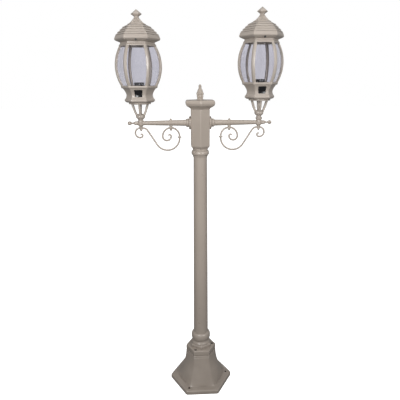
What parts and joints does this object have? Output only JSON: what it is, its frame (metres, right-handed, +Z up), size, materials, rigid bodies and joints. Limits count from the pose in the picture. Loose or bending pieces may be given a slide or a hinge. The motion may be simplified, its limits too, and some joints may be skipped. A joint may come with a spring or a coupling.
{
  "type": "street lamp post",
  "caption": "Decorative street lamp post with a hexagonal bell foot, tapered round column, scrolled side arms and glazed hexagonal lanterns with hinged roofs.",
  "frame": {"origin": "middle of the foot's underside, on the ground", "axes": "+Z up along the column, the arms run along X, the front with the bowls' dark inserts faces -Y"},
  "size_m": [0.6636, 0.2528, 1.658],
  "materials": {
    "post_paint": "satin",
    "lantern_paint": "satin",
    "dark_screw": "satin",
    "steel": "brushed",
    "terminal_plastic": "matte",
    "wire": "matte",
    "black_insert": "gloss",
    "holder": "satin",
    "glass": "clear"
  },
  "bodies": {
    "post": {"plinth": "post_paint", "base_cover": "post_paint", "base_screws": "dark_screw", "base_bead": "post_paint", "column": "post_paint", "column_ring": "post_paint", "head_block": "post_paint", "head_cap": "post_paint", "post_finial": "post_paint", "tie_rod": "steel", "tie_nut": "steel", "terminal_block": "terminal_plastic", "arm_locknuts": "steel", "clip_bolts": "post_paint", "stem_studs": "steel", "scroll_drops": "post_paint", "conduit_nuts": "steel", "right_stem_ring": "lantern_paint", "left_arm": "post_paint", "left_arm_flange": "post_paint", "left_arm_tip": "post_paint", "left_scroll": "post_paint", "left_lead": "wire", "left_stem": "lantern_paint", "left_conduit": "steel", "left_bowl": "lantern_paint", "left_window": "black_insert", "left_cage": "lantern_paint", "left_lamp_holder": "holder", "left_hinge_pin": "steel", "left_pane_1": "glass", "left_pane_2": "glass", "left_pane_3": "glass", "left_pane_4": "glass", "left_pane_5": "glass", "left_pane_6": "glass", "right_arm": "post_paint", "right_arm_flange": "post_paint", "right_arm_tip": "post_paint", "right_scroll": "post_paint", "right_lead": "wire", "right_stem": "lantern_paint", "right_conduit": "steel", "right_bowl": "lantern_paint", "right_window": "black_insert", "right_cage": "lantern_paint", "right_lamp_holder": "holder", "right_hinge_pin": "steel", "right_pane_1": "glass", "right_pane_2": "glass", "right_pane_3": "glass", "right_pane_4": "glass", "right_pane_5": "glass", "right_pane_6": "glass"},
    "left_roof": {"left_roof": "lantern_paint", "left_spire": "lantern_paint"},
    "left_lock": {"left_lock_screw": "dark_screw"},
    "right_roof": {"right_roof": "lantern_paint", "right_spire": "lantern_paint"},
    "right_lock": {"right_lock_screw": "dark_screw"}
  },
  "joints": [
    {"name": "left_roof_hinge", "type": "hinge", "parent": "post", "child": "left_roof", "pos_m": [-0.24, 0.06702, 1.526], "axis": [-1, 0, 0], "range_deg": [0, 95]},
    {"name": "left_lock_slide", "type": "slide", "parent": "left_roof", "child": "left_lock", "axis": [0, -1, 0], "range_m": [0, 0.006]},
    {"name": "right_roof_hinge", "type": "hinge", "parent": "post", "child": "right_roof", "pos_m": [0.24, 0.06702, 1.5375], "axis": [-1, 0, 0], "range_deg": [0, 95]},
    {"name": "right_lock_slide", "type": "slide", "parent": "right_roof", "child": "right_lock", "axis": [0, -1, 0], "range_m": [0, 0.006]}
  ]
}
